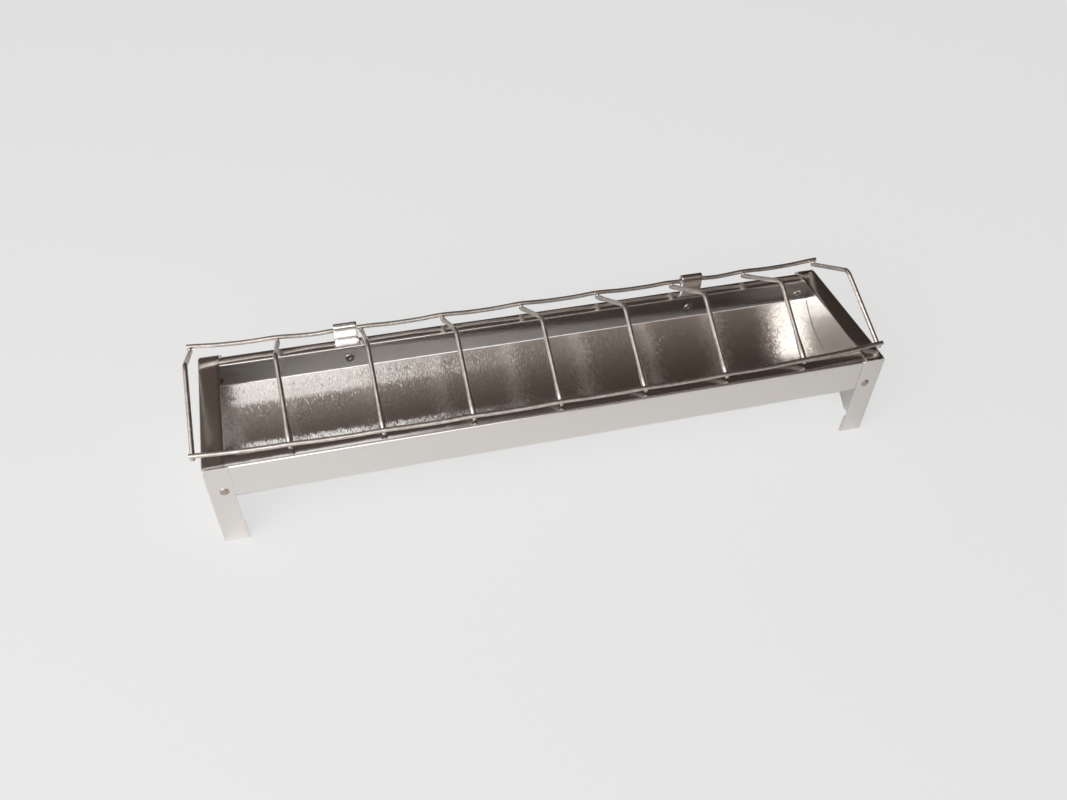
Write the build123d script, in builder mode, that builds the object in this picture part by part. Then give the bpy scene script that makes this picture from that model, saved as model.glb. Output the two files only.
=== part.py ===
from build123d import *
import os
from math import asin, atan2, cos, hypot, radians, sin, tan

# Chick feeder trough: a tray folded from galvanised sheet stands on two folded end caps, and a
# grill of welded wire, bent like a tent, is hinged along its back rim in two riveted clips.
# Millimetres. +X runs along the trough, +Y points to the hinge side and +Z is up. The origin is
# on the ground, in the middle between the four feet.

# Sheet and fits
sheet = 0.7
bend_radius = 2.0
seam = 0.1
fold_flat = 0.1

# Trough body: walls, inward rims with a hem, and a round floor
trough_length = 500.0
trough_width = 118.0
rim_height = 71.5
wall_height = 27.5
floor_slope = radians(40)
floor_edge = 5.0
rim_width = 10.5
rim_hem = 4.0
hem_gap = 0.4

# End caps: plate, flange over the rims, and two wings that run down as legs
flange_width = 15.0
leg_width = 17.0
cap_bend_radius = 1.0
corner_slit = 0.6
arch_width = 69.0
arch_height = 12.0
foot_hem_height = 16.0
foot_hem_step = 1.0

# Tubular rivets
rivet_diameter = 3.6
rivet_play = 0.05
rivet_head_diameter = 6.5
rivet_head_height = 1.1
rivet_roll_diameter = 7.4
rivet_roll_height = 1.0
rivet_bore = 2.2
rivet_bore_depth = 1.4
leg_rivet_inset = 10.5
leg_rivet_drop = 21.5

# Hinge clips: a strap looped over the rear rail, both ends riveted to the back wall
clip_sheet = 0.8
clip_width = 17.5
clip_inset = 110.0
clip_top_slack = 2.4
clip_side_play = 0.35
clip_corner_radius = 3.0
clip_throat_radius = 1.2
clip_rivet_drop = 18.5
clip_tail = 6.5

# Grill: two rails with bent wires welded under them
wire_diameter = 3.4
weld_gap = 0.05
rail_overhang = 1.8
wire_chamfer = 0.4
cross_wire_count = 7
end_bar_outset = 1.4
rail_span = 117.4
ridge_rise = 30.4
end_bar_rise = 33.4
end_bar_lean = radians(10)
ridge_radius = 8.0
stub_length = 2.0
rest_gap = 0.35
grill_slide = -2.4

# Trough places
half_width = trough_width / 2
wall_foot = rim_height - wall_height
floor_apex = wall_foot - half_width * tan(floor_slope)
floor_radius = (half_width / cos(floor_slope) - floor_edge) / tan(floor_slope)
body_length = trough_length - 2 * (cap_bend_radius + seam)
hem_thickness = 2 * sheet + hem_gap
hem_radius = (hem_thickness - fold_flat) / 2

# End cap places
cap_end = trough_length / 2
cap_half = half_width + seam + sheet
cap_top = rim_height + seam + sheet
leg_edge = cap_end - leg_width
flange_edge = cap_end - flange_width
flange_span = 2 * (half_width + seam - corner_slit)
flange_drop = 2 * cap_bend_radius

# Rivet places
leg_rivet_x = cap_end - leg_rivet_inset
leg_rivet_z = rim_height - leg_rivet_drop
leg_rivet_grip = 2 * sheet + seam
clip_rivet_x = cap_end - clip_inset
clip_rivet_z = rim_height - clip_rivet_drop
clip_rivet_grip = sheet + 2 * (seam + clip_sheet)
rivet_hole_radius = rivet_diameter / 2 + rivet_play

# Grill places: the rails stand as high as the end bars' stubs need, clear of the flanges
wire_radius = wire_diameter / 2
weld_distance = wire_diameter + weld_gap
end_bar_x = cap_end + end_bar_outset
wire_pitch = 2 * end_bar_x / (cross_wire_count + 1)
rail_length = 2 * (end_bar_x + rail_overhang)
half_span = rail_span / 2


def wire_slope(rise):
    """The slope of a wire that runs straight from its ridge to just under a rail."""
    return atan2(rise, half_span) + asin(weld_distance / hypot(half_span, rise))


end_slope = wire_slope(end_bar_rise)
stub_drop = (weld_distance + wire_radius) * cos(end_slope) + stub_length * sin(end_slope)
rail_z = cap_top + rest_gap + stub_drop
clip_inner_y = half_width + seam + clip_sheet
loop_half = wire_radius + clip_side_play
loop_radius = loop_half - fold_flat / 2
rear_rail_y = clip_inner_y + loop_half
front_rail_y = rear_rail_y - rail_span
ridge_y = rear_rail_y - half_span

# Trough body: one sheet, drawn along its outer skin from the front hem to the back hem
front_skin = [
    (-half_width + rim_width - rim_hem, rim_height - hem_thickness),
    (-half_width + rim_width, rim_height - hem_thickness),
    (-half_width + rim_width, rim_height),
    (-half_width, rim_height),
    (-half_width, wall_foot),
]
back_skin = [(-y, z) for y, z in reversed(front_skin)]
front_radii = [hem_radius, hem_radius, bend_radius, bend_radius]
skin_radii = front_radii + [floor_radius] + front_radii[::-1]

with BuildPart() as trough_body:
    with BuildSketch(Plane.YZ.offset(-body_length / 2)):
        with BuildLine():
            FilletPolyline(*front_skin, (0, floor_apex), *back_skin, radius=skin_radii)
            offset(amount=sheet, side=Side.LEFT)
        make_face()
    extrude(amount=body_length)
    # Leg rivet holes through the front and the back wall
    with BuildSketch(Plane.XZ):
        with Locations((-leg_rivet_x, leg_rivet_z), (leg_rivet_x, leg_rivet_z)):
            Circle(rivet_hole_radius)
    extrude(amount=trough_width, both=True, mode=Mode.SUBTRACT)
    # Clip rivet holes through the back wall
    with BuildSketch(Plane.XZ):
        with Locations((-clip_rivet_x, clip_rivet_z), (clip_rivet_x, clip_rivet_z)):
            Circle(rivet_hole_radius)
    extrude(amount=-trough_width, mode=Mode.SUBTRACT)

# End caps: the right one is folded up, the left one is its mirror image
with BuildPart() as right_end_cap:
    # Plate and wings: a strip bent round the end of the trough
    with BuildSketch():
        with BuildLine():
            FilletPolyline(
                (leg_edge, -cap_half),
                (cap_end, -cap_half),
                (cap_end, cap_half),
                (leg_edge, cap_half),
                radius=cap_bend_radius,
            )
            offset(amount=sheet, side=Side.LEFT)
        make_face()
    extrude(amount=cap_top)
    # Flange: the top of the plate, slit from the wings and folded in over the rims
    with Locations((cap_end, 0, cap_top)):
        Box(
            leg_width,
            flange_span + 2 * corner_slit,
            flange_drop,
            align=(Align.MAX, Align.CENTER, Align.MAX),
            mode=Mode.SUBTRACT,
        )
    with BuildSketch(Plane.XZ.offset(-flange_span / 2)):
        with BuildLine():
            FilletPolyline(
                (cap_end, cap_top - flange_drop),
                (cap_end, cap_top),
                (flange_edge, cap_top),
                radius=cap_bend_radius,
            )
            offset(amount=sheet, side=Side.LEFT)
        make_face()
    extrude(amount=flange_span)
    # Arch between the feet
    with BuildSketch(Plane.YZ.offset(cap_end)):
        with BuildLine():
            ThreePointArc((-arch_width / 2, 0), (0, arch_height), (arch_width / 2, 0))
            Line((arch_width / 2, 0), (-arch_width / 2, 0))
        make_face()
    extrude(amount=-leg_width, mode=Mode.SUBTRACT)
    # Foot hems: the end of each leg folded up inside, a little wider than the leg
    hem_y = half_width + seam - sheet / 2
    with Locations((cap_end - sheet, -hem_y, 0), (cap_end - sheet, hem_y, 0)):
        Box(
            leg_width - sheet + foot_hem_step,
            sheet,
            foot_hem_height,
            align=(Align.MAX, Align.CENTER, Align.MIN),
        )
    # Leg rivet holes
    with BuildSketch(Plane.XZ):
        with Locations((leg_rivet_x, leg_rivet_z)):
            Circle(rivet_hole_radius)
    extrude(amount=trough_width, both=True, mode=Mode.SUBTRACT)


def mirrored(piece, plane):
    """The same piece on the other side of a plane."""
    with BuildPart() as twin:
        mirror(piece.part, about=plane)
    return twin


left_end_cap = mirrored(right_end_cap, Plane.YZ)


def make_rivet(x, z, face_y, grip):
    """A tubular rivet on the back side: low domed head outside at face_y, rolled end inside."""
    inner_y = face_y - grip
    head_y = face_y + rivet_head_height
    roll_y = inner_y - rivet_roll_height
    shank_radius = rivet_diameter / 2
    with BuildPart() as rivet:
        with BuildSketch(Plane((x, 0, z))):
            with BuildLine():
                TangentArc(
                    (0, head_y),
                    (rivet_head_diameter / 2, face_y),
                    tangent=(1, 0),
                )
                Polyline(
                    (rivet_head_diameter / 2, face_y),
                    (shank_radius, face_y),
                    (shank_radius, inner_y),
                    (rivet_roll_diameter / 2, inner_y),
                )
                TangentArc(
                    (rivet_roll_diameter / 2, inner_y),
                    (rivet_roll_diameter / 2 - rivet_roll_height, roll_y),
                    tangent=(0, -1),
                )
                Polyline(
                    (rivet_roll_diameter / 2 - rivet_roll_height, roll_y),
                    (rivet_bore / 2, roll_y),
                    (rivet_bore / 2, roll_y + rivet_bore_depth),
                    (0, roll_y + rivet_bore_depth),
                    (0, head_y),
                )
            make_face()
        revolve(axis=Axis((x, 0, z), (0, 1, 0)))
    return rivet


# Rivets: two hold each end cap to the trough, and one holds each hinge clip
back_right_leg_rivet = make_rivet(leg_rivet_x, leg_rivet_z, cap_half, leg_rivet_grip)
back_left_leg_rivet = mirrored(back_right_leg_rivet, Plane.YZ)
front_right_leg_rivet = mirrored(back_right_leg_rivet, Plane.XZ)
front_left_leg_rivet = mirrored(front_right_leg_rivet, Plane.YZ)
clip_face_y = half_width + 2 * (seam + clip_sheet)
right_clip_rivet = make_rivet(clip_rivet_x, clip_rivet_z, clip_face_y, clip_rivet_grip)
left_clip_rivet = mirrored(right_clip_rivet, Plane.YZ)

# Hinge clips: drawn along the strap's inside, up the wall, over the rail and down again
clip_foot = clip_rivet_z - clip_tail
loop_back_y = clip_inner_y + 2 * loop_half
loop_top = rail_z + wire_radius + clip_top_slack
throat_top = rail_z - wire_radius
throat_foot = throat_top - 2 * loop_half

with BuildPart() as right_hinge_clip:
    with BuildSketch(Plane.YZ.offset(clip_rivet_x - clip_width / 2)):
        with BuildLine():
            FilletPolyline(
                (clip_inner_y, clip_foot),
                (clip_inner_y, loop_top),
                (loop_back_y, loop_top),
                (loop_back_y, throat_top),
                (clip_inner_y + seam, throat_foot),
                (clip_inner_y + seam, clip_foot),
                radius=[
                    loop_radius,
                    loop_radius,
                    clip_throat_radius,
                    clip_throat_radius,
                ],
            )
            offset(amount=clip_sheet, side=Side.LEFT)
        make_face()
    extrude(amount=clip_width)
    # Rounded corners at the foot of both layers
    foot_edges = right_hinge_clip.edges().filter_by(Axis.Y).group_by(Axis.Z)[0]
    fillet(foot_edges, clip_corner_radius)
    with BuildSketch(Plane.XZ):
        with Locations((clip_rivet_x, clip_rivet_z)):
            Circle(rivet_hole_radius)
    extrude(amount=-trough_width, mode=Mode.SUBTRACT)

left_hinge_clip = mirrored(right_hinge_clip, Plane.YZ)


def make_rail(y):
    """A straight wire along the whole grill, with its cut ends eased."""
    with BuildPart() as rail:
        with BuildSketch(Plane.YZ.offset(grill_slide - rail_length / 2)):
            with Locations((y, rail_z)):
                Circle(wire_radius)
        extrude(amount=rail_length)
        chamfer(rail.edges().filter_by(GeomType.CIRCLE), wire_chamfer)
    return rail


def make_bent_wire(x, rise, lean=0.0):
    """One wire from under the front rail over the ridge to the rear rail, leaning to +X by an angle."""
    slope = wire_slope(rise)
    stub_out = stub_length * cos(slope) - weld_distance * sin(slope)
    weld_drop = weld_distance * cos(slope)
    weld_line = (grill_slide + x, 0, rail_z - weld_drop)
    bend_plane = Plane(weld_line, x_dir=(0, 1, 0), z_dir=(cos(lean), 0, -sin(lean)))
    with BuildPart() as wire:
        with BuildLine(bend_plane) as run:
            FilletPolyline(
                (front_rail_y - stub_out, -stub_length * sin(slope)),
                (ridge_y, weld_drop + rise),
                (rear_rail_y + stub_out, -stub_length * sin(slope)),
                radius=ridge_radius,
            )
        with BuildSketch(Plane(run.line @ 0, z_dir=run.line % 0)):
            Circle(wire_radius)
        sweep()
    return wire


# Grill: the rails, the two end bars and the cross wires between them
front_rail = make_rail(front_rail_y)
rear_rail = make_rail(rear_rail_y)
left_end_bar = make_bent_wire(-end_bar_x, end_bar_rise, end_bar_lean)
right_end_bar = make_bent_wire(end_bar_x, end_bar_rise, -end_bar_lean)
cross_wires = [
    make_bent_wire((i + 1) * wire_pitch - end_bar_x, ridge_rise) for i in range(cross_wire_count)
]

pieces = {
    "trough_body": trough_body,
    "left_end_cap": left_end_cap,
    "right_end_cap": right_end_cap,
    "front_left_leg_rivet": front_left_leg_rivet,
    "front_right_leg_rivet": front_right_leg_rivet,
    "back_left_leg_rivet": back_left_leg_rivet,
    "back_right_leg_rivet": back_right_leg_rivet,
    "left_hinge_clip": left_hinge_clip,
    "right_hinge_clip": right_hinge_clip,
    "left_clip_rivet": left_clip_rivet,
    "right_clip_rivet": right_clip_rivet,
    "front_rail": front_rail,
    "rear_rail": rear_rail,
    "left_end_bar": left_end_bar,
    "right_end_bar": right_end_bar,
}
for number, wire in enumerate(cross_wires, start=1):
    pieces[f"cross_wire_{number}"] = wire

os.makedirs("parts", exist_ok=True)
for name, piece in pieces.items():
    piece.part.label = name
    export_step(piece.part, f"parts/{name}.step")
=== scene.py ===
"""Looks of a galvanised chick feeder trough with a hinged wire grill, dressed around its CAD frame."""

import logging
import math
from dataclasses import dataclass, field
from enum import Enum
from functools import partial
from typing import Callable, Mapping, Sequence

import bmesh
import bpy
from mathutils import Matrix, Vector, noise


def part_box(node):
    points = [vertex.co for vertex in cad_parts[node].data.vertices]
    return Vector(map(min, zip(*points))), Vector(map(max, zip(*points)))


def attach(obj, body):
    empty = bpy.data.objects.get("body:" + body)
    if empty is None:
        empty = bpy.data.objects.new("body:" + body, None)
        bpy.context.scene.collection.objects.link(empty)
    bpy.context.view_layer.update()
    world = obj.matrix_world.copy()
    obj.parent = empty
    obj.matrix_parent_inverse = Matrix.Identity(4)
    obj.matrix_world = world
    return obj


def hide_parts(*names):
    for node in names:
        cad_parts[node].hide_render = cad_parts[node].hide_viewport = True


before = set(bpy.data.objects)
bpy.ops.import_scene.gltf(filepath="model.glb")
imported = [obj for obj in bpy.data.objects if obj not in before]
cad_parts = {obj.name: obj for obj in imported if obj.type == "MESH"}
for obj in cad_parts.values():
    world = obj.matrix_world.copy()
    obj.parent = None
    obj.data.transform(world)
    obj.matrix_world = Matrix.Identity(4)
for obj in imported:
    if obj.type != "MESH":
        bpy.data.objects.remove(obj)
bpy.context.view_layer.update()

MM = 0.001
NEAR = 1e-7
PHOTO_WIDTH = 1067
PHOTO_HEIGHT = 800
SENSOR_WIDTH = 36.0

# Blender's names for the nodes and settings that are used most
MATH = "ShaderNodeMath"
VECTOR = "ShaderNodeVectorMath"
RANGE = "ShaderNodeMapRange"
NOISE = "ShaderNodeTexNoise"
SPLIT = "ShaderNodeSeparateXYZ"
SMOOTH = {"interpolation_type": "SMOOTHSTEP"}
RGBA = {"data_type": "RGBA"}
FLOAT = {"data_type": "FLOAT"}

Pair = tuple[float, float]
Triple = tuple[float, float, float]
Points = Sequence[Sequence[float]]
Numbers = Sequence[Sequence[int]]
Tree = bpy.types.NodeTree
Node = bpy.types.Node
Socket = bpy.types.NodeSocket
Piece = bpy.types.Object
Material = bpy.types.Material
log = logging.getLogger("feeder")


class Body(Enum):
    """The rigid bodies of the feeder."""

    TROUGH = "trough"
    GRILL = "grill"


class Slot(Enum):
    """Names of material slots."""

    SHEET = "galvanised_sheet"
    STRAP = "galvanised_strap"
    RIVET = "zinc_rivet"
    WIRE = "galvanised_wire"


class Side(Enum):
    """The two ends of the trough, by the sign of X."""

    LEFT = -1
    RIGHT = 1


# Small helpers

def linear(code: str) -> tuple[float, float, float, float]:
    """Turn an sRGB hex colour into linear values.

    Args:
        code: Six hex digits with a leading hash.

    Returns:
        Linear red, green, blue and an alpha of 1.
    """
    parts = [int(code[i : i + 2], 16) / 255 for i in (1, 3, 5)]
    curve = [c / 12.92 if c <= 0.04045 else ((c + 0.055) / 1.055) ** 2.4 for c in parts]
    return (curve[0], curve[1], curve[2], 1.0)


def add_node(
    tree: Tree, kind: str, settings: dict | str | None = None, *values: object, **inputs: object
) -> Node:
    """Add one node, set it up and link it.

    Args:
        tree: The node tree that takes the node.
        kind: The node's Blender type name.
        settings: Attributes of the node itself, or just the name of its operation.
        values: What its first inputs take: a value, a socket, or a node for that node's first output.
        inputs: The same for inputs by name, with _ for a space, or in_N by number.

    Returns:
        The new node.
    """
    node = tree.nodes.new(kind)
    if isinstance(settings, str):
        settings = {"operation": settings}
    for name, value in (settings or {}).items():
        setattr(node, name, value)
    named = {int(n[3:]) if n.startswith("in_") else n.replace("_", " "): v for n, v in inputs.items()}
    for key, value in {**dict(enumerate(values)), **named}.items():
        if isinstance(value, Node):
            value = value.outputs[0]
        if isinstance(value, Socket):
            tree.links.new(value, node.inputs[key])
        else:
            node.inputs[key].default_value = value
    return node


def new_material(name: str) -> tuple[Material, Callable[..., Node]]:
    """Start a material.

    Args:
        name: The finish's name.

    Returns:
        The material, and add_node for its empty node tree.
    """
    material = bpy.data.materials.new(name)
    material.use_nodes = True
    material.node_tree.nodes.clear()
    return material, partial(add_node, material.node_tree)


def smoothstep(low: float, high: float, value: float) -> float:
    """A soft step from 0 at low to 1 at high."""
    t = min(max((value - low) / (high - low), 0.0), 1.0)
    return t * t * (3 - 2 * t)


def rounded_path(
    points: Sequence[Pair], radii: Sequence[float], longest: float, steps: int = 6
) -> list[Pair]:
    """Round the inner corners of an open path with arcs, and divide its long runs.

    Args:
        points: The path's corners.
        radii: One radius for each inner corner.
        longest: The longest step that is kept whole.
        steps: The fewest segments in an arc. A long arc gets one for every 3 mm.

    Returns:
        The path's points.
    """
    corners = [Vector(p) for p in points]
    path = [corners[0]]
    for before, corner, after, radius in zip(corners, corners[1:], corners[2:], radii):
        u = (before - corner).normalized()
        v = (after - corner).normalized()
        half = u.angle(v) / 2
        reach = radius / math.tan(half)
        centre = corner + (u + v).normalized() * (radius / math.sin(half))
        start = corner + u * reach - centre
        end = corner + v * reach - centre
        turn = math.atan2(start.x * end.y - start.y * end.x, start.dot(end))
        count = max(steps, math.ceil(radius * abs(turn) / (3 * MM)))
        path += [centre + Matrix.Rotation(turn * i / count, 2) @ start for i in range(count + 1)]
    path.append(corners[-1])
    divided = [tuple(path[0])]
    for a, b in zip(path, path[1:]):
        count = max(1, math.ceil((b - a).length / longest))
        divided += [tuple(a.lerp(b, (i + 1) / count)) for i in range(count)]
    return divided


def path_normals(path: Sequence[Pair]) -> list[Vector]:
    """Find the left-hand normals along a path.

    Args:
        path: The path's points.

    Returns:
        The normals, lengthened at corners so that an offset keeps its width.
    """
    points = [Vector(p) for p in path]
    runs = [(b - a).normalized() for a, b in zip(points, points[1:])]
    lefts = [Vector((-d.y, d.x)) for d in runs]
    normals = [lefts[0]]
    for a, b in zip(lefts, lefts[1:]):
        middle = (a + b).normalized()
        normals.append(middle / max(middle.dot(a), 0.5))
    normals.append(lefts[-1])
    return normals


def make_object(name: str, verts: Points, faces: Numbers = (), edges: Numbers = ()) -> Piece:
    """Make a mesh object at the origin, with doubles merged and faces turned outwards.

    Args:
        name: The piece's name.
        verts: Points in metres, in the part's frame.
        faces: Vertex numbers of each face.
        edges: Vertex numbers of each loose edge.

    Returns:
        The linked object.
    """
    mesh = bpy.data.meshes.new(name)
    mesh.from_pydata([tuple(v) for v in verts], edges, faces)
    work = bmesh.new()
    work.from_mesh(mesh)
    bmesh.ops.remove_doubles(work, verts=work.verts, dist=0.005 * MM)
    bmesh.ops.recalc_face_normals(work, faces=work.faces)
    work.to_mesh(mesh)
    work.free()
    piece = bpy.data.objects.new(name, mesh)
    bpy.context.collection.objects.link(piece)
    return piece


def make_sheets(name: str, sheets: Sequence[Sequence[Points]]) -> Piece:
    """Make an object of sheets of faces.

    Args:
        name: The piece's name.
        sheets: Each sheet's columns of points, as many points in one column as in the next.

    Returns:
        The linked object.
    """
    verts, faces = [], []
    for columns in sheets:
        start, rows = len(verts), len(columns[0])
        for column in columns:
            verts += column
        for i in range(len(columns) - 1):
            for a in range(start + i * rows, start + (i + 1) * rows - 1):
                faces.append((a, a + rows, a + rows + 1, a + 1))
    return make_object(name, verts, faces)


def shade(piece: Piece, angle: float = 35.0) -> None:
    """Shade a piece smooth, with sharp edges above an angle in degrees."""
    piece.data.polygons.foreach_set("use_smooth", [True] * len(piece.data.polygons))
    piece.data.set_sharp_from_angle(angle=math.radians(angle))


def bake_modifiers(piece: Piece) -> None:
    """Turn a piece with modifiers into a plain mesh.

    Args:
        piece: The object, which keeps its name and loses its modifiers.
    """
    graph = bpy.context.evaluated_depsgraph_get()
    plain = bpy.data.meshes.new_from_object(piece.evaluated_get(graph))
    piece.modifiers.clear()
    piece.data = plain
    plain.name = piece.name


def thicken(piece: Piece, thickness: float, edge_round: float) -> None:
    """Give a sheet's middle surface its thickness and eased edges, as a plain mesh.

    Args:
        piece: The middle surface.
        thickness: The sheet's thickness, in metres.
        edge_round: How far its edges are eased, in metres.
    """
    sheet = piece.modifiers.new("sheet thickness", "SOLIDIFY")
    sheet.thickness = thickness
    sheet.offset = 0.0
    sheet.use_even_offset = True
    edge = piece.modifiers.new("eased edges", "BEVEL")
    edge.width = edge_round
    edge.segments = 2
    edge.limit_method = "ANGLE"
    edge.angle_limit = math.radians(50)
    bake_modifiers(piece)
    shade(piece)


def finish_piece(piece: Piece, body: Body, slot: Slot, material: Material, *nodes: str) -> None:
    """Give a piece its finish and its body, and hide the CAD nodes that it stands for.

    Args:
        piece: The finished mesh object.
        body: The body that it moves with.
        slot: A material slot; not used.
        material: The finish.
        nodes: The CAD nodes that it replaces.
    """
    piece.data.materials.clear()
    piece.data.materials.append(material)
    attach(piece, body.value)
    if nodes:
        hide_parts(*nodes)
    log.info("%s: %d faces", piece.name, len(piece.data.polygons))


# Finishes

@dataclass(frozen=True)
class GalvanisedSheet:
    """Hot-dip galvanised steel sheet, bright as rolled and folded cold.

    The eye sees a blurred mirror, broken up by zinc crystals some millimetres wide and by fine
    streaks, with a slow ripple from folding. Low in the tray, feed has scoured it to a speckle with
    short dashes, and the foot of the back wall is rubbed to a satin, most of all to the left.
    Tilts are slopes. A pair named shares or tones holds two levels of a pattern from 0 to 1.
    """

    name: str = "galvanised sheet"
    tint: str = "#F1EFED"
    dull_tint: str = "#DCD8D4"
    roughness: Pair = (0.15, 0.18)
    grain: float = 0.85
    grain_turn: float = 0.25
    rolling_way: Triple = (1.0, 0.05, 0.02)
    ripple_mm: float = 55.0
    ripple_depth_mm: float = 0.25
    crystal_mm: float = 6.0
    crystal_tilt: float = 0.01
    streak_mm: float = 0.8
    streak_length: float = 3.0
    streak_tilt: Triple = (0.02, 0.014, 0.014)
    streak_shares: Pair = (0.45, 0.65)
    worn_top_mm: float = 44.0
    worn_fade_mm: float = 4.0
    worn_streaks: Triple = (18.0, 3.0, 2.0)
    dash_mm: float = 0.6
    dash_length: float = 5.0
    dash_tilt: float = 0.2
    dash_shares: Pair = (0.52, 0.8)
    dash_tones: Pair = (0.34, 0.74)
    satin_roughness: Pair = (0.8, 0.42)
    satin_ends_mm: Pair = (-250.0, 100.0)
    satin_top_mm: float = 60.0
    satin_fade_mm: float = 9.0
    satin_slant: float = 0.045
    back_wall_mm: Pair = (52.0, 56.0)
    inward: Pair = (-0.7, -0.95)

    def make(self) -> Material:
        """Build the material.

        Returns:
            The node material.
        """
        material, add = new_material(self.name)
        place = add("ShaderNodeTexCoord").outputs["Object"]
        flat = add("ShaderNodeNewGeometry").outputs["Normal"]
        spot = add(SPLIT, None, place).outputs
        half = (0.5, 0.5, 0.5)
        # Zinc crystals: each one leans a little its own way
        cells = add("ShaderNodeTexVoronoi", None, Vector=place, Scale=1 / (self.crystal_mm * MM))
        lean = add(VECTOR, "SUBTRACT", cells.outputs["Color"], half)
        lean = add(VECTOR, "SCALE", lean, Scale=self.crystal_tilt)
        # Streaks and dashes run across the sheet. They are finer than a pixel, so they are drawn coarser
        stretch = add("ShaderNodeMapping", None, place, Scale=(1, *[1 / self.streak_length] * 2))
        streaks = add(NOISE, None, Vector=stretch, Scale=1 / (self.streak_mm * MM), Detail=3.0, Roughness=0.6)
        sway = add(VECTOR, "SUBTRACT", streaks.outputs["Color"], half)
        sway = add(VECTOR, "MULTIPLY", sway, self.streak_tilt)
        plain = add(RANGE, SMOOTH, streaks.outputs["Fac"], *self.streak_shares, *self.roughness)
        stretch = add("ShaderNodeMapping", None, place, Scale=(1, *[1 / self.dash_length] * 2))
        dashes = add(NOISE, None, Vector=stretch, Scale=1 / (self.dash_mm * MM), Detail=1.0).outputs["Fac"]
        # Low down, feed has scoured the sheet: dashes catch the light from the front, and some spots are dull
        top, fade = self.worn_top_mm * MM, self.worn_fade_mm * MM
        worn = add(RANGE, None, spot["Z"], top - fade, top, 1.0, 0.0)
        speckle = add(VECTOR, "SCALE", sway, Scale=worn)
        speckle = add(VECTOR, "MULTIPLY", speckle, self.worn_streaks)
        lift = add(RANGE, SMOOTH, dashes, *self.dash_shares, 0.0, self.dash_tilt)
        lift = add(MATH, "MULTIPLY", lift, worn)
        glint = add(VECTOR, "SCALE", (0.0, -1.0, 0.0), Scale=lift)
        tone = add(RANGE, None, dashes, *self.dash_tones, 1.0, 0.0)
        clean = add(MATH, "SUBTRACT", 1.0, worn)
        tone = add(MATH, "MAXIMUM", tone, clean)
        colour = add("ShaderNodeMix", RGBA, tone, in_6=linear(self.dull_tint), in_7=linear(self.tint))
        # The foot of the back wall's inside is rubbed to a satin, most of all to the left
        turned = add(SPLIT, None, flat).outputs["Y"]
        inward = add(RANGE, None, turned, *self.inward, 0.0, 1.0)
        level = add(MATH, "MULTIPLY_ADD", spot["X"], self.satin_slant, spot["Z"])
        top, fade = self.satin_top_mm * MM, self.satin_fade_mm * MM
        foot = add(RANGE, SMOOTH, level, top - fade, top, 1.0, 0.0)
        near, far = self.back_wall_mm
        back = add(RANGE, None, spot["Y"], near * MM, far * MM, 0.0, foot)
        satin = add(MATH, "MULTIPLY", inward, back)
        left, right = self.satin_ends_mm
        rubbed = add(RANGE, None, spot["X"], left * MM, right * MM, *self.satin_roughness)
        roughness = add(RANGE, None, satin, 0.0, 1.0, plain, rubbed)
        normal = flat
        for tilt in (lean, sway, speckle, glint):
            normal = add(VECTOR, "ADD", normal, tilt)
        ripple = add(NOISE, None, Vector=place, Scale=1 / (self.ripple_mm * MM), Detail=1.0).outputs["Fac"]
        bump = add("ShaderNodeBump", None, Strength=1.0, Distance=self.ripple_depth_mm * MM, Height=ripple,
                   Normal=normal)
        # Rolling marks run across the sheet, so the mirror is blurred along X
        across = add(VECTOR, "CROSS_PRODUCT", flat, self.rolling_way)
        shader = add("ShaderNodeBsdfPrincipled", None, Base_Color=colour.outputs[2], Metallic=1.0,
                     Roughness=roughness, Normal=bump, Anisotropic=self.grain,
                     Anisotropic_Rotation=self.grain_turn, Tangent=across)
        add("ShaderNodeOutputMaterial", None, shader)
        return material


@dataclass(frozen=True)
class GalvanisedWire:
    """Drawn steel wire, welded and then dipped in zinc.

    The eye sees a soft satin line with small lumps where the zinc ran.
    """

    name: str = "galvanised wire"
    tint: str = "#E4DFDA"
    dull_tint: str = "#BBB3AC"
    roughness: float = 0.34
    roughness_spread: float = 0.2
    lump_mm: float = 3.5
    lump_depth_mm: float = 0.12
    lump_tones: Pair = (0.1875, 0.8125)
    grain_mm: float = 0.5

    def make(self) -> Material:
        """Build the material.

        Returns:
            The node material.
        """
        material, add = new_material(self.name)
        place = add("ShaderNodeTexCoord").outputs["Object"]
        lumps, grain = (
            add(NOISE, None, Vector=place, Scale=1 / (size * MM), Detail=2.0).outputs["Fac"]
            for size in (self.lump_mm, self.grain_mm)
        )
        spread = self.roughness_spread
        shine = add(MATH, "MULTIPLY_ADD", grain, spread, self.roughness - spread / 2)
        tone = add(RANGE, None, lumps, *self.lump_tones, 0.0, 1.0)
        colour = add("ShaderNodeMix", RGBA, tone, in_6=linear(self.dull_tint), in_7=linear(self.tint))
        bump = add("ShaderNodeBump", None, Strength=1.0, Distance=self.lump_depth_mm * MM, Height=lumps)
        shader = add("ShaderNodeBsdfPrincipled", None, Base_Color=colour.outputs[2], Metallic=1.0,
                     Roughness=shine, Normal=bump)
        add("ShaderNodeOutputMaterial", None, shader)
        return material


# Sheet work

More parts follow.
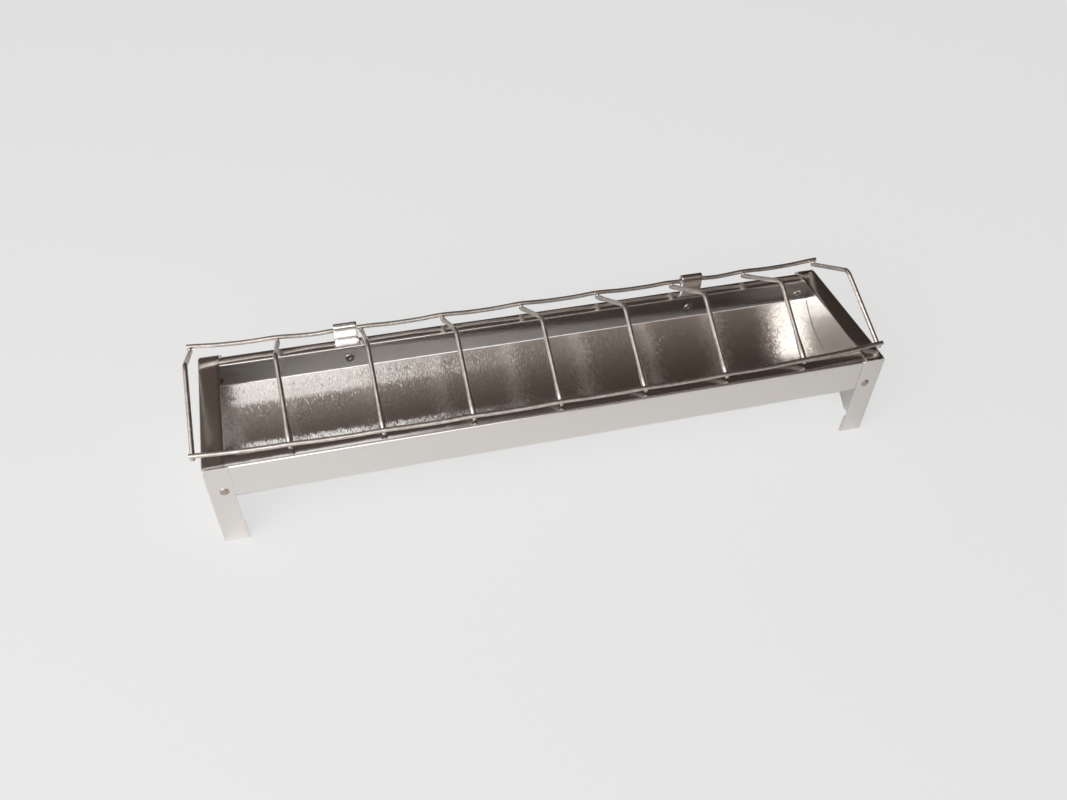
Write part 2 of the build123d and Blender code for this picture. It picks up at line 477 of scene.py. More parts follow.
@dataclass
class Tray:
    """The trough's one folded sheet: walls, hemmed rims and a round floor.

    Sizes are in millimetres, the floor's slope at the walls in degrees. Length, width and height
    come from the CAD node. The end caps hold the sheet true over a run at each end.
    """

    sheet: float = 0.7
    bend_radius: float = 3.5
    wall_height: float = 27.5
    floor_slope: float = 40.0
    floor_edge: float = 5.0
    rim_bend_radius: float = 1.8
    rim_width: float = 10.5
    rim_hem: float = 4.0
    hem_gap: float = 0.4
    hem_flat: float = 0.1
    front_droop: float = 0.0
    back_droop: float = 0.3
    station_step: float = 4.0
    skin_step: float = 4.0
    buckle_depth: float = 0.22
    buckle_length: float = 70.0
    held_run: Pair = (30.0, 12.0)
    seed: float = 3.7

    def skin(self) -> list[Pair]:
        """Find the outer skin of the section.

        Returns:
            Its path from the front hem to the back hem, in metres.
        """
        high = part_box("trough_body")[1]
        half, top = high.y, high.z
        hem = (2 * self.sheet + self.hem_gap) * MM
        inner = half - self.rim_width * MM
        tip = inner + self.rim_hem * MM
        foot = top - self.wall_height * MM
        slope = math.radians(self.floor_slope)
        apex = (0.0, foot - half * math.tan(slope))
        floor_radius = (half / math.cos(slope) - self.floor_edge * MM) / math.tan(slope)
        sides = []
        for droop in (self.front_droop, self.back_droop):
            edge = top - droop * MM
            rim = [(-tip, edge - hem), (-inner, edge - hem), (-inner, edge)]
            sides.append(rim + [(-half, top), (-half, foot)])
        corners = sides[0] + [apex] + [(-y, z) for y, z in reversed(sides[1])]
        turn = (hem - self.hem_flat * MM) / 2
        radii = [turn, turn, self.rim_bend_radius * MM, self.bend_radius * MM]
        return rounded_path(corners, radii + [floor_radius] + radii[::-1], self.skin_step * MM)

    def buckle(self, spot: Vector, ends: float) -> float:
        """How far the sheet stands off its true place at a point, in metres.

        Args:
            spot: The point on the outer skin.
            ends: The trough's half length.

        Returns:
            The distance along the sheet's inner normal.
        """
        wave = noise.noise(spot / (self.buckle_length * MM) + Vector((self.seed, 0, 0)))
        far, near = self.held_run
        held = 1 - smoothstep(ends - far * MM, ends - near * MM, abs(spot.x))
        return self.buckle_depth * MM * wave * held

    def build(self, material: Material) -> None:
        """Make the tray.

        Args:
            material: The sheet's finish.
        """
        low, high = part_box("trough_body")
        path = self.skin()
        normals = path_normals(path)
        count = math.ceil((high.x - low.x) / (self.station_step * MM))
        rings = []
        for i in range(count + 1):
            x = low.x + (high.x - low.x) * i / count
            outer, inner = [], []
            for (y, z), normal in zip(path, normals):
                shift = self.buckle(Vector((x, y, z)), high.x)
                for skin, depth in ((outer, 0.0), (inner, self.sheet * MM)):
                    skin.append(Vector((x, y + normal.x * (depth + shift), z + normal.y * (depth + shift))))
            rings.append(outer + inner[::-1] + outer[:1])
        edges = [[ring[: len(path)], ring[-2 : len(path) - 1 : -1]] for ring in (rings[0], rings[-1])]
        piece = make_sheets("trough_body_sheet", [rings] + edges)
        shade(piece)
        finish_piece(piece, Body.TROUGH, Slot.SHEET, material, "trough_body")


@dataclass
class EndCap:
    """One folded end cap: plate, flange over the rims, and wings that run down as hemmed legs.

    Sizes are in millimetres. Its outer size comes from the CAD node.
    """

    side: Side
    sheet: float = 0.7
    bend_radius: float = 1.0
    leg_width: float = 17.0
    flange_width: float = 15.0
    corner_slit: float = 0.6
    arch_width: float = 69.0
    arch_height: float = 12.0
    foot_hem_height: float = 16.0
    foot_hem_step: float = 1.0
    hem_ease: float = 0.05
    sole_gap: float = 0.08
    edge_round: float = 0.18
    plan_step: float = 2.5
    fold_step: float = 3.0
    levels: int = 16

    def arch(self, y: float) -> float:
        """Find the plate's lower edge.

        Args:
            y: Place across the plate.

        Returns:
            The edge's height, in metres.
        """
        half, rise = self.arch_width / 2 * MM, self.arch_height * MM
        radius = (half**2 + rise**2) / (2 * rise)
        return math.sqrt(radius**2 - y**2) - (radius - rise) if abs(y) < half else 0.0

    def build(self, material: Material) -> None:
        """Make the end cap as a middle surface, then give the sheet its thickness.

        Args:
            material: The sheet's finish.
        """
        node = f"{self.side.name.lower()}_end_cap"
        low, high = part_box(node)
        half_sheet = self.sheet / 2 * MM
        end = max(abs(low.x), abs(high.x)) - half_sheet
        wing_y = high.y - half_sheet
        top = high.z - half_sheet
        leg_x = end + half_sheet - self.leg_width * MM
        flange_x = end + half_sheet - self.flange_width * MM
        bend = self.bend_radius * MM - half_sheet
        slit_y = wing_y - half_sheet - self.corner_slit * MM
        root = top - 2 * self.bend_radius * MM
        turn = half_sheet + self.hem_ease * MM
        sole = half_sheet + turn + self.sole_gap * MM
        corners = [(leg_x, -wing_y), (end, -wing_y), (end, wing_y), (leg_x, wing_y)]
        plan = self.with_stops(rounded_path(corners, [bend, bend], self.plan_step * MM, 4), slit_y)
        wings = {sign: [x for x, y in plan if abs(y - sign * wing_y) < NEAR] for sign in (-1, 1)}
        out = self.side.value
        # Plate and wings up to the slits
        body = []
        for x, y in plan:
            foot = self.arch(y) if abs(y) < wing_y - NEAR else sole
            levels = [foot + (root - foot) * k / self.levels for k in range(self.levels + 1)]
            body.append([Vector((out * x, y, z)) for z in levels])
        sheets = [body]
        # Wings above the slit roots
        for sign, wing in wings.items():
            levels = (root, top + half_sheet)
            sheets.append([[Vector((out * x, sign * wing_y, z)) for z in levels] for x in wing])
        # Flange: the plate goes on up, bends and lies over the rims
        corners = [(end, root), (end, top), (flange_x, top)]
        fold = rounded_path(corners, [bend], self.fold_step * MM, 5)
        plate = [y for x, y in plan if x > end - NEAR and abs(y) <= slit_y + NEAR]
        sheets.append([[Vector((out * x, y, z)) for x, z in fold] for y in plate])
        # Foot hems: each leg's end turned up inside
        hem = []
        for i in range(5):
            angle = math.pi * i / 4
            hem.append((i / 4, wing_y - turn * (1 - math.cos(angle)), sole - turn * math.sin(angle)))
        hem.append((1.0, wing_y - 2 * turn, self.foot_hem_height * MM))
        for sign, wing in wings.items():
            columns = []
            for x in wing:
                shift = self.foot_hem_step * MM if abs(x - leg_x) < NEAR else 0.0
                columns.append([Vector((out * (x - shift * share), sign * y, z)) for share, y, z in hem])
            sheets.append(columns)
        piece = make_sheets(f"{node}_sheet", sheets)
        thicken(piece, self.sheet * MM, self.edge_round * MM)
        finish_piece(piece, Body.TROUGH, Slot.SHEET, material, node)

    @staticmethod
    def with_stops(plan: Sequence[Pair], stop: float) -> list[Pair]:
        """Put points at y = -stop and y = stop into the plate's run of a plan path.

        Args:
            plan: The path.
            stop: Where the corner slits begin.

        Returns:
            The path with the points added.
        """
        result = [plan[0]]
        for a, b in zip(plan, plan[1:]):
            for y in (-stop, stop):
                if abs(a[0] - b[0]) < NEAR and a[1] + NEAR < y < b[1] - NEAR:
                    result.append((a[0], y))
            result.append(b)
        return result


@dataclass
class HingeClip:
    """A strap looped over the rear rail, with both ends riveted to the back wall.

    Sizes are in millimetres. Its width, foot and top come from the CAD node.
    """

    side: Side
    strap: float = 0.8
    side_play: float = 0.35
    throat_radius: float = 1.2
    tail_radius: float = 3.0
    seam: float = 0.1
    edge_round: float = 0.2
    path_step: float = 1.5
    columns: int = 9

    def build(self, material: Material) -> None:
        """Make the clip.

        Args:
            material: The strap's finish.
        """
        node = f"{self.side.name.lower()}_hinge_clip"
        low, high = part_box(node)
        rail_low, rail_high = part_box("rear_rail")
        rail_y = (rail_low.y + rail_high.y) / 2
        loop = (rail_high.y - rail_low.y) / 2 + self.side_play * MM
        middle = self.strap / 2 * MM
        near, far = rail_y - loop - middle, rail_y + loop + middle
        inner = near + (self.strap + self.seam) * MM
        top = high.z - middle
        throat = rail_low.z
        corners = [(near, low.z), (near, top), (far, top), (far, throat)]
        corners += [(inner, throat - 2 * loop), (inner, low.z)]
        radii = [loop, loop, self.throat_radius * MM, self.throat_radius * MM]
        path = rounded_path(corners, radii, self.path_step * MM)
        centre = (low.x + high.x) / 2
        half = (high.x - low.x) / 2
        corner = self.tail_radius * MM
        shares = [2 * k / (self.columns - 1) - 1 for k in range(self.columns)]
        rows = []
        for y, z in path:
            reach = max(corner - (z - low.z), 0.0)
            width = half - corner + math.sqrt(max(corner**2 - reach**2, 0.0))
            rows.append([Vector((centre + width * share, y, z)) for share in shares])
        piece = make_sheets(f"{node}_strap", [rows])
        thicken(piece, self.strap * MM, self.edge_round * MM)
        finish_piece(piece, Body.TROUGH, Slot.STRAP, material, node)


# Node groups

def new_group(name: str, **kinds: str) -> tuple[Tree, Callable[..., Node], Mapping[str, Socket]]:
    """Start a geometry node group that takes a geometry, some named inputs and a finish.

    Args:
        name: The group's name.
        kinds: The kinds of its named inputs, by name with _ for a space.

    Returns:
        The group, add_node for it, and what its inputs give.
    """
    tree = bpy.data.node_groups.new(name, "GeometryNodeTree")
    for key, kind in {"Geometry": "Geometry", **kinds, "Finish": "Material"}.items():
        tree.interface.new_socket(key.replace("_", " "), in_out="INPUT", socket_type=f"NodeSocket{kind}")
    tree.interface.new_socket("Geometry", in_out="OUTPUT", socket_type="NodeSocketGeometry")
    add = partial(add_node, tree)
    return tree, add, add("NodeGroupInput").outputs


def wire_tree() -> Tree:
    """Geometry nodes that run a round wire along a line, with lumps of zinc on it.

    The line's points may carry a length named swell, by which the wire is thicker there.

    Returns:
        The node group.
    """
    tree, add, given = new_group("wire along a line", Wire_Radius="Float", Sides="Int", Lump_Depth="Float",
                                 Lump_Size="Float")
    line = add("GeometryNodeMeshToCurve", None, Mesh=given["Geometry"])
    ring = add("GeometryNodeCurvePrimitiveCircle", None, Resolution=given["Sides"],
               Radius=given["Wire Radius"])
    tube = add("GeometryNodeCurveToMesh", None, Curve=line, Profile_Curve=ring, Fill_Caps=True)
    where = add("GeometryNodeInputPosition")
    lumps = add(NOISE, None, Vector=where, Scale=given["Lump Size"], Detail=1.0)
    height = add(MATH, "SUBTRACT", lumps.outputs["Fac"], 0.5)
    height = add(MATH, "MULTIPLY", height, given["Lump Depth"])
    swell = add("GeometryNodeInputNamedAttribute", FLOAT, Name="swell")
    height = add(MATH, "ADD", height, swell)
    push = add(VECTOR, "SCALE", add("GeometryNodeInputNormal"), Scale=height)
    moved = add("GeometryNodeSetPosition", None, Geometry=tube, Offset=push)
    whole = add("GeometryNodeRealizeInstances", None, Geometry=moved)
    dressed = add("GeometryNodeSetMaterial", None, Geometry=whole, Material=given["Finish"])
    add("NodeGroupOutput", None, Geometry=dressed)
    return tree


def scatter_tree(name: str) -> Tree:
    """Geometry nodes that set copies of a shape on points, each turned the way its point faces.

    Args:
        name: The node group's name.

    Returns:
        The node group.
    """
    tree, add, given = new_group(name, Shape="Object", Smallest="Float", Largest="Float", Spin="Float",
                                 Seed="Int")
    shape = add("GeometryNodeObjectInfo", None, Object=given["Shape"]).outputs["Geometry"]
    facing = add("GeometryNodeInputNamedAttribute", {"data_type": "FLOAT_VECTOR"}, Name="facing")
    turn = add("FunctionNodeAlignRotationToVector", {"axis": "Z"}, Vector=facing)
    spin, size = (
        add("FunctionNodeRandomValue", FLOAT, in_2=low, in_3=high, Seed=given["Seed"]).outputs[1]
        for low, high in ((0.0, given["Spin"]), (given["Smallest"], given["Largest"]))
    )
    local = add("FunctionNodeEulerToRotation", None, add("ShaderNodeCombineXYZ", None, Z=spin))
    both = add("FunctionNodeRotateRotation", {"rotation_space": "LOCAL"}, turn, local)
    copies = add("GeometryNodeInstanceOnPoints", None, Points=given["Geometry"], Instance=shape,
                 Rotation=both, Scale=size)
    whole = add("GeometryNodeRealizeInstances", None, Geometry=copies)
    dressed = add("GeometryNodeSetMaterial", None, Geometry=whole, Material=given["Finish"])
    add("NodeGroupOutput", None, Geometry=dressed)
    return tree


def run_tree(piece: Piece, tree: Tree, **values: object) -> None:
    """Run a node group on a piece with its inputs set, and keep the result as a plain mesh.

    Args:
        piece: The object that holds the line or the points.
        tree: The node group.
        values: Its inputs by name, with _ for a space.
    """
    sockets = {
        item.name: item.identifier
        for item in tree.interface.items_tree
        if item.item_type == "SOCKET" and item.in_out == "INPUT"
    }
    step = piece.modifiers.new(tree.name, "NODES")
    step.node_group = tree
    for name, value in values.items():
        step[sockets[name.replace("_", " ")]] = value
    bake_modifiers(piece)


def set_copies(
    name: str, shape: Piece, spots: Points, facing: Points, material: Material,
    sizes: Pair = (1.0, 1.0), spin: float = 0.0, seed: int = 1,
) -> Piece:
    """Set copies of a shape on spots as one piece, and remove the shape.

    Args:
        name: The piece's name.
        shape: The shape, which stands along Z.
        spots: Where the copies go.
        facing: Which way each copy's Z points.
        material: The finish.
        sizes: The smallest and the largest copy's scale.
        spin: The largest turn about Z, in radians.
        seed: The seed of sizes and turns.

    Returns:
        The piece.
    """
    piece = make_object(name, spots)
    ways = [value for way in facing for value in way]
    piece.data.attributes.new("facing", "FLOAT_VECTOR", "POINT").data.foreach_set("vector", ways)
    run_tree(piece, scatter_tree(name), Shape=shape, Smallest=sizes[0], Largest=sizes[1], Spin=spin,
             Seed=seed, Finish=material)
    bpy.data.objects.remove(shape)
    return piece


# Grill and rivets

@dataclass
class Grill:
    """Two rails with bent wires spot-welded under them, and a nugget of zinc at each weld.

    Sizes are in millimetres. Places come from the CAD nodes. A pair named for both ends has the left one
    first. A rail's bend is where it starts from the middle, the run over which it grows, and its power.
    """

    cross_wires: int = 7
    stub: float = 2.0
    weld_gap: float = 0.05
    ridge_radius: float = 8.0
    wire_step: float = 2.5
    sides: int = 20
    foot_inset: float = 0.2
    end_leans: Pair = (6.0, 11.0)
    end_drops: Pair = (0.5, 2.8)
    front_pulls: Pair = (2.5, 6.5)
    front_lifts: Pair = (2.7, 0.8)
    front_bend: Triple = (60.0, 195.0, 2.6)
    rear_lifts: Pair = (3.6, 2.2)
    rear_bend: Triple = (150.0, 104.0, 1.5)
    rear_sag: float = 1.2
    front_sag: float = 0.6
    sag_level: float = 0.65
    weld_reach: float = 14.0
    clip_hold: Pair = (8.0, 24.0)
    rail_ease: float = 0.1
    rail_steps: int = 200
    wander: float = 0.2
    wander_length: float = 90.0
    wander_spread: float = 40.0
    lump_depth: float = 0.10
    lump_size: float = 6.0
    nugget: float = 1.35
    nugget_sizes: Pair = (0.85, 1.15)
    nugget_shape: Triple = (1.25, 0.95, 0.9)
    nugget_rough: Pair = (0.22, 1.7)
    nugget_spin: float = 0.6
    foot_swells: Pair = (0.75, 0.35)
    swell_rise: Pair = (2.0, 7.0)
    swell_length: float = 26.0
    seed: int = 5
    bent: list[str] = field(init=False)

    def __post_init__(self) -> None:
        """Name the bent wires from left to right."""
        inner = [f"cross_wire_{i + 1}" for i in range(self.cross_wires)]
        self.bent = ["left_end_bar", *inner, "right_end_bar"]

    @staticmethod
    def middle(node: str) -> Vector:
        """The middle of a node's box."""
        low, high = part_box(node)
        return (low + high) / 2

    def radius(self) -> float:
        """The wire's radius, in metres."""
        low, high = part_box("front_rail")
        return (high.z - low.z) / 2

    def foot(self, node: str) -> float:
        """Find a bent wire's welds: on its outer side, where it leans inwards.

        Args:
            node: The wire's CAD node.

        Returns:
            Their place along X.
        """
        low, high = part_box(node)
        reach = self.radius() + self.foot_inset * MM
        if node == "left_end_bar":
            return low.x + reach
        if node == "right_end_bar":
            return high.x - reach
        return (low.x + high.x) / 2

    def rail_spot(self, node: str, x: float) -> Vector:
        """A point on a rail's line at x: both rails bend up at their ends, and the front one inwards.

        Args:
            node: The rail's CAD node.
            x: The place along it.

        Returns:
            The point, before any slack.
        """
        place = self.middle(node)
        end = 0 if x < 0 else 1
        if node == "front_rail":
            start, run, power = self.front_bend
            bend = Vector((0, self.front_pulls[end], self.front_lifts[end]))
        else:
            start, run, power = self.rear_bend
            bend = Vector((0, 0, self.rear_lifts[end]))
        share = max(abs(x) / MM - start, 0.0) / run
        return Vector((x, place.y, place.z)) + bend * share**power * MM

    def rail_line(self, node: str) -> list[Vector]:
        """A rail's centre line: drawn up a little at each weld, and slack between.

        Args:
            node: The rail's CAD node.

        Returns:
            Points along the rail.
        """
        low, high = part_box(node)
        welds = [self.foot(name) for name in self.bent]
        clips = [self.middle("left_hinge_clip").x, self.middle("right_hinge_clip").x]
        slack = self.rear_sag if node == "rear_rail" else self.front_sag
        ease = self.rail_ease * MM
        points = []
        for i in range(self.rail_steps + 1):
            x = low.x + ease + (high.x - low.x - 2 * ease) * i / self.rail_steps
            near = min(abs(x - weld) for weld in welds)
            sag = slack * MM * (self.sag_level - math.exp(-((near / (self.weld_reach * MM)) ** 2)))
            if node == "rear_rail":
                held = min(abs(x - clip) for clip in clips)
                sag *= smoothstep(self.clip_hold[0] * MM, self.clip_hold[1] * MM, held)
            spot = self.rail_spot(node, x)
            along = Vector((x / (self.wander_length * MM), spot.y * self.wander_spread, self.seed))
            points.append(spot + Vector((0, self.wander * MM * noise.noise(along), -sag)))
        return points

    def bent_line(self, node: str) -> list[Vector]:
        """A bent wire's centre line, from its front stub over the ridge to its rear stub.

        Args:
            node: The wire's CAD node.

        Returns:
            Points along the wire.
        """
        x = self.foot(node)
        front, rear = self.rail_spot("front_rail", x), self.rail_spot("rear_rail", x)
        radius = self.radius()
        half = (rear.y - front.y) / 2
        weld = 2 * radius + self.weld_gap * MM
        bend = self.ridge_radius * MM
        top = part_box(node)[1].z - radius
        lean = 0.0
        if node.endswith("end_bar"):
            end = 0 if node == "left_end_bar" else 1
            lean = math.tan(math.radians(self.end_leans[end])) * (1 - 2 * end)
            top -= self.end_drops[end] * MM
        level = (front.z + rear.z) / 2
        rise = crown = top - level
        # The slope and the height that its round ridge takes off depend on each other, and settle soon
        for _ in range(12):
            slope = math.atan2(rise, half) + math.asin(weld / math.hypot(half, rise))
            rise = crown + bend * (1 / math.cos(slope) - 1)
        out = self.stub * MM * math.cos(slope) - weld * math.sin(slope)
        down = self.stub * MM * math.sin(slope) + weld * math.cos(slope)
        ridge = ((front.y + rear.y) / 2, level + rise)
        corners = [(front.y - out, front.z - down), ridge, (rear.y + out, rear.z - down)]
        path = rounded_path(corners, [bend], self.wire_step * MM, 14)
        return [Vector((x + lean * (z - level + weld), y, z)) for y, z in path]

    def swells(self, line: Sequence[Vector]) -> list[float]:
        """How much thicker a bent wire is along its line, where zinc ran down to its feet.

        Args:
            line: The wire's centre line, from the front to the rear.

        Returns:
            A length for each point.
        """
        run = [0.0]
        for a, b in zip(line, line[1:]):
            run.append(run[-1] + (b - a).length / MM)
        start, full = self.swell_rise
        more = []
        for here in run:
            total = 0.0
            for size, way in zip(self.foot_swells, (here, run[-1] - here)):
                total += size * smoothstep(start, full, way) * (1 - smoothstep(full, self.swell_length, way))
            more.append(total * MM)
        return more

    def wire(self, node: str, line: Sequence[Vector], tree: Tree, material: Material) -> None:
        """Run one wire along its line.

        Args:
            node: The CAD node that it replaces.
            line: Its centre line.
            tree: The wire's node group.
            material: The wire's finish.
        """
        edges = [(i, i + 1) for i in range(len(line) - 1)]
        piece = make_object(f"{node}_wire", line, edges=edges)
        if node.startswith("cross_wire"):
            swell = piece.data.attributes.new("swell", "FLOAT", "POINT")
            swell.data.foreach_set("value", self.swells(line))
        run_tree(piece, tree, Wire_Radius=self.radius() - self.lump_depth / 2 * MM, Sides=self.sides,
                 Lump_Depth=self.lump_depth * MM, Lump_Size=1 / (self.lump_size * MM), Finish=material)
        shade(piece, 50)
        finish_piece(piece, Body.GRILL, Slot.WIRE, material, node)

    def welds(self, material: Material) -> None:
        """Set a nugget of metal at each crossing of a bent wire and a rail.

        Args:
            material: The wire's finish.
        """
        shape = bpy.data.objects.new("nugget_shape", bpy.data.meshes.new("nugget_shape"))
        depth, fineness = self.nugget_rough
        work = bmesh.new()
        bmesh.ops.create_icosphere(work, subdivisions=3, radius=1.0)
        for v in work.verts:
            rough = 1 + depth * noise.noise(v.co * fineness)
            v.co = v.co * Vector(self.nugget_shape) * rough
        work.to_mesh(shape.data)
        work.free()
        shade(shape, 80)
        spots, facing = [], []
        for rail, inward in (("front_rail", 0.5), ("rear_rail", -0.5)):
            toward = Vector((0, inward, -1)).normalized()
            for name in self.bent:
                spots.append(self.rail_spot(rail, self.foot(name)) + toward * self.radius())
                facing.append(toward)
        sizes = tuple(self.nugget * MM * share for share in self.nugget_sizes)
        piece = set_copies("weld_nuggets", shape, spots, facing, material, sizes, self.nugget_spin, self.seed)
        finish_piece(piece, Body.GRILL, Slot.WIRE, material)

    def build(self, material: Material) -> None:
        """Make the rails, the bent wires and the welds.

        Args:
            material: The wire's finish.
        """
        tree = wire_tree()
        for rail in ("front_rail", "rear_rail"):
            self.wire(rail, self.rail_line(rail), tree, material)
        for node in self.bent:
            self.wire(node, self.bent_line(node), tree, material)
        self.welds(material)


@dataclass
class Rivets:
    """Six tubular rivets: domed heads outside, rolled ends inside. Sizes are in millimetres."""

    head_diameter: float = 6.5
    head_height: float = 1.1
    head_lip: Pair = (0.98, 0.05)
    roll_height: float = 1.0
    roll_ease: float = 0.1
    bore: float = 2.2
    bore_lip: Pair = (0.5, 0.3)
    bore_taper: float = 0.8
    bore_depths: Pair = (1.3, 1.4)
    arc_steps: int = 8
    segments: int = 32

    def profile(self, node: str) -> list[Pair]:
        """Half the rivet's section, as radius and height from its outer face, in metres.

        Args:
            node: A rivet's CAD node, which gives its length and its rolled end's width.

        Returns:
            The outline from the tip of the head to the bottom of the bore.
        """
        low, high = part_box(node)
        roll = (high.x - low.x) / 2
        head = self.head_diameter / 2 * MM
        rise = self.head_height * MM
        dome = (head**2 + rise**2) / (2 * rise)
        foot = rise - (high.y - low.y)
        thick = self.roll_height * MM
        inside = self.bore / 2 * MM
        outline = []
        for i in range(self.arc_steps + 1):
            r = head * i / self.arc_steps
            outline.append((r, math.sqrt(dome**2 - r**2) - (dome - rise)))
        share, depth = self.head_lip
        outline += [(head * share, -depth * MM), (roll - self.roll_ease * MM, foot + thick)]
        for i in range(self.arc_steps + 1):
            turn = math.pi / 2 * i / self.arc_steps
            outline.append((roll - thick + thick * math.cos(turn), foot + thick - thick * math.sin(turn)))
        lip, step = self.bore_lip
        wall, floor = self.bore_depths
        outline += [(inside + lip * MM, foot), (inside, foot + step * MM)]
        return outline + [(inside * self.bore_taper, foot + wall * MM), (0.0, foot + floor * MM)]

    def build(self, nodes: Sequence[str], name: str, material: Material) -> None:
        """Set one turned rivet shape at each rivet's place.

        Args:
            nodes: The rivets' CAD nodes, all of one length.
            name: The piece's name.
            material: The rivet's finish.
        """
        outline = self.profile(nodes[0])
        columns = []
        for i in range(self.segments + 1):
            turn = 2 * math.pi * i / self.segments
            columns.append([Vector((r * math.cos(turn), r * math.sin(turn), h)) for r, h in outline])
        shape = make_sheets("rivet_shape", [columns])
        shade(shape, 40)
        spots, facing = [], []
        for node in nodes:
            low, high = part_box(node)
            outward = 1.0 if low.y + high.y > 0 else -1.0
            skin = (high.y if outward > 0 else low.y) - outward * self.head_height * MM
            spots.append(((low.x + high.x) / 2, skin, (low.z + high.z) / 2))
            facing.append((0.0, outward, 0.0))
        piece = set_copies(name, shape, spots, facing, material)
        finish_piece(piece, Body.TROUGH, Slot.RIVET, material, *nodes)


# Studio

@dataclass(frozen=True)
class PhotoCamera:
    """The camera at the photograph's place: a normal lens above the front left of the trough.

    Angles are in degrees and lengths in millimetres. The optical centre is in the photograph's pixels.
    """

    azimuth: float = -15.25
    elevation: float = 46.68
    roll: float = 1.18
    distance: float = 628.5
    aim: Triple = (-42.7, -102.8, 60.0)
    focal_px: float = 931.6
    centre_px: Pair = (523.0, 476.8)

    def build(self) -> None:
        """Make the camera and make it the scene's own."""
        a, e, r = map(math.radians, (self.azimuth, self.elevation, self.roll))
        back = Vector((math.sin(a) * math.cos(e), -math.cos(a) * math.cos(e), math.sin(e)))
        right = (-back).cross(Vector((0, 0, 1))).normalized()
        up = right.cross(-back)
        tilted = math.cos(r) * right + math.sin(r) * up
        upright = -math.sin(r) * right + math.cos(r) * up
        data = bpy.data.cameras.new("photo_camera")
        data.sensor_width = SENSOR_WIDTH
        data.lens = self.focal_px / PHOTO_WIDTH * SENSOR_WIDTH
        data.shift_x = (PHOTO_WIDTH / 2 - self.centre_px[0]) / PHOTO_WIDTH
        data.shift_y = (self.centre_px[1] - PHOTO_HEIGHT / 2) / PHOTO_WIDTH
        data.clip_start = 0.01
        camera = bpy.data.objects.new("photo_camera", data)
        place = Vector(self.aim) * MM + back * self.distance * MM
        turn = Matrix((tilted, upright, back)).transposed()
        camera.matrix_world = Matrix.Translation(place) @ turn.to_4x4()
        bpy.context.collection.objects.link(camera)
        bpy.context.scene.camera = camera


@dataclass(frozen=True)
class Softbox:
    """A rectangular softbox. Lengths are in metres and its power in watts."""

    name: str
    place: Triple
    size: Pair
    power: float
    aim: Triple = (0.0, 0.0, 0.0)

    def hang(self) -> None:
        """Hang the lamp, facing its aim."""
        data = bpy.data.lights.new(self.name, "AREA")
        data.shape = "RECTANGLE"
        data.size, data.size_y = self.size
        data.energy = self.power
        lamp = bpy.data.objects.new(self.name, data)
        lamp.location = self.place
        lamp.rotation_euler = (Vector(self.aim) - Vector(self.place)).to_track_quat("-Z", "Y").to_euler()
        bpy.context.collection.objects.link(lamp)


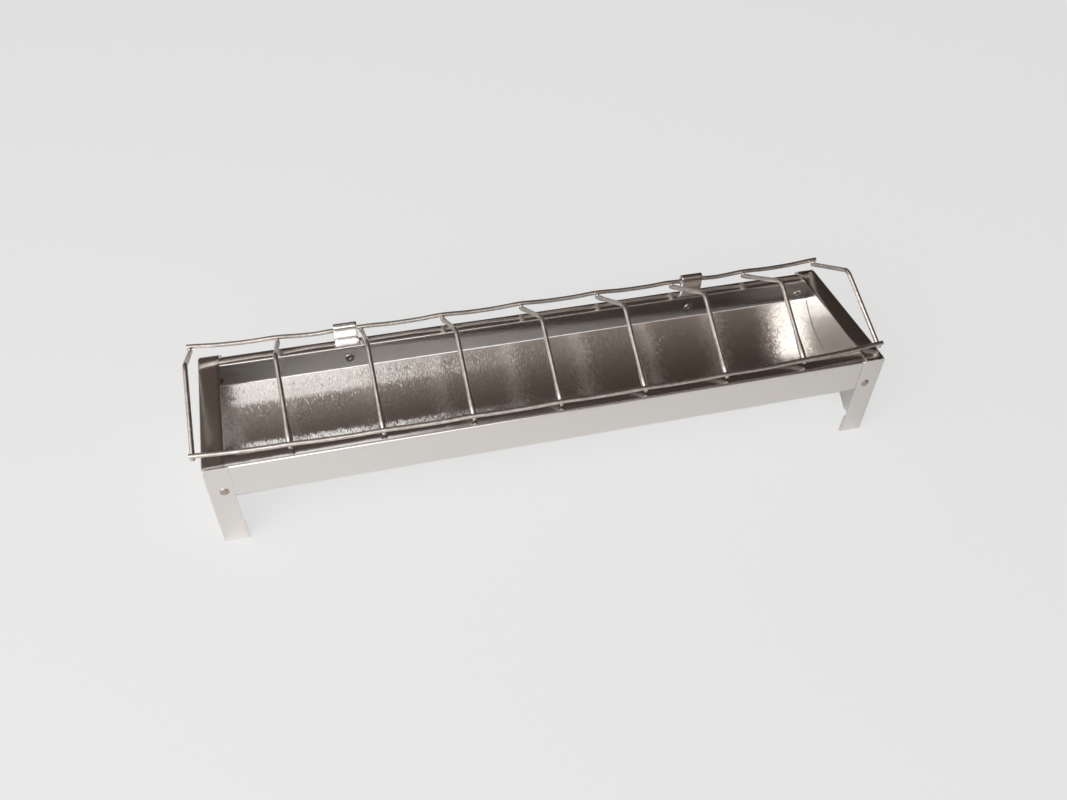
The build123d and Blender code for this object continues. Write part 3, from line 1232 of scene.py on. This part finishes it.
@dataclass(frozen=True)
class Studio:
    """A pale floor, a surround that is pale at the front left and dark at the back, and softboxes."""

    floor_colour: str = "#ECECEC"
    floor_size: float = 12.0
    floor_glow: float = 0.8
    mirror_glow: float = 0.1
    bright_way: Triple = (-0.85, -0.5, 0.15)
    surround: tuple[tuple[float, str], ...] = (
        (0.20, "#352D28"),
        (0.33, "#443A34"),
        (0.40, "#524741"),
        (0.48, "#5E544D"),
        (0.60, "#82776F"),
        (0.75, "#ADA59F"),
        (0.90, "#E2DEDA"),
    )
    sky_strength: float = 1.0
    lamps: tuple[Softbox, ...] = (
        Softbox("top_softbox", (-0.5, -0.70, 1.6), (1.1, 0.7), 1.5, aim=(-0.5, -0.70, 0.0)),
        Softbox("back_softbox", (-0.25, 1.1, 1.6), (0.7, 0.3), 0.6),
        Softbox("front_softbox", (-0.75, -2.0, 1.2), (2.6, 1.6), 18.0),
        Softbox("left_softbox", (-1.1, -0.8, 0.85), (1.2, 1.0), 13.0),
    )

    def floor(self) -> None:
        """Lay the floor. The camera and the metal see its own pale colour with a soft share of shadow."""
        half = self.floor_size / 2
        corners = [(-half, -half, 0), (half, -half, 0), (half, half, 0), (-half, half, 0)]
        piece = make_object("floor", corners, [(0, 1, 2, 3)])
        material, add = new_material("matt paper floor")
        paper = add("ShaderNodeBsdfDiffuse", None, linear(self.floor_colour))
        glow = add("ShaderNodeEmission", None, linear(self.floor_colour), 1.0)
        path = add("ShaderNodeLightPath").outputs
        mirrored = add(MATH, "MULTIPLY", path["Is Glossy Ray"], self.mirror_glow)
        share = add(MATH, "MULTIPLY_ADD", path["Is Camera Ray"], self.floor_glow, mirrored)
        both = add("ShaderNodeMixShader", None, share, paper, glow)
        add("ShaderNodeOutputMaterial", None, both)
        piece.data.materials.append(material)

    def sky(self) -> None:
        """Make the surround, which goes from pale to dark along one direction."""
        world = bpy.data.worlds.new("studio surround")
        bpy.context.scene.world = world
        world.use_nodes = True
        world.node_tree.nodes.clear()
        add = partial(add_node, world.node_tree)
        way = add("ShaderNodeTexCoord").outputs["Generated"]
        toward = add(VECTOR, "DOT_PRODUCT", way, self.bright_way).outputs["Value"]
        ramp = add("ShaderNodeValToRGB", None, add(MATH, "MULTIPLY_ADD", toward, 0.5, 0.5))
        stops = ramp.color_ramp.elements
        while len(stops) < len(self.surround):
            stops.new(0.5)
        for stop, (place, code) in zip(stops, self.surround):
            stop.position = place
            stop.color = linear(code)
        # The camera sees a plain pale wall, and only the metal and the floor see the surround
        seen = add("ShaderNodeLightPath").outputs["Is Camera Ray"]
        shown = add("ShaderNodeMix", RGBA, seen, in_6=ramp, in_7=linear(self.floor_colour)).outputs[2]
        light = add("ShaderNodeBackground", None, shown, self.sky_strength)
        add("ShaderNodeOutputWorld", None, light)

    def build(self) -> None:
        """Set up the floor, the surround and the lamps."""
        self.floor()
        self.sky()
        for lamp in self.lamps:
            lamp.hang()
        bpy.context.scene.view_settings.view_transform = "Standard"


def main() -> None:
    """Build every piece, the camera and the studio."""
    logging.basicConfig(level=logging.INFO, format="%(name)s %(message)s")
    PhotoCamera().build()
    sheet = GalvanisedSheet().make()
    clean_sheet = GalvanisedSheet(name="clean galvanised sheet", worn_top_mm=0.0).make()
    strap = GalvanisedSheet(name="galvanised strap", crystal_mm=5.0).make()
    wire = GalvanisedWire().make()
    rivet = GalvanisedWire(name="zinc rivet", tint="#B8B0A8", roughness=0.3, lump_depth_mm=0.05).make()
    Tray().build(sheet)
    for side in Side:
        EndCap(side).build(clean_sheet)
        HingeClip(side).build(strap)
    rivets = Rivets()
    corners = [f"{depth}_{side.name.lower()}_leg_rivet" for depth in ("front", "back") for side in Side]
    rivets.build(corners, "leg_rivets", rivet)
    rivets.build([f"{side.name.lower()}_clip_rivet" for side in Side], "clip_rivets", rivet)
    Grill().build(wire)
    Studio().build()


if __name__ == "__main__":
    main()
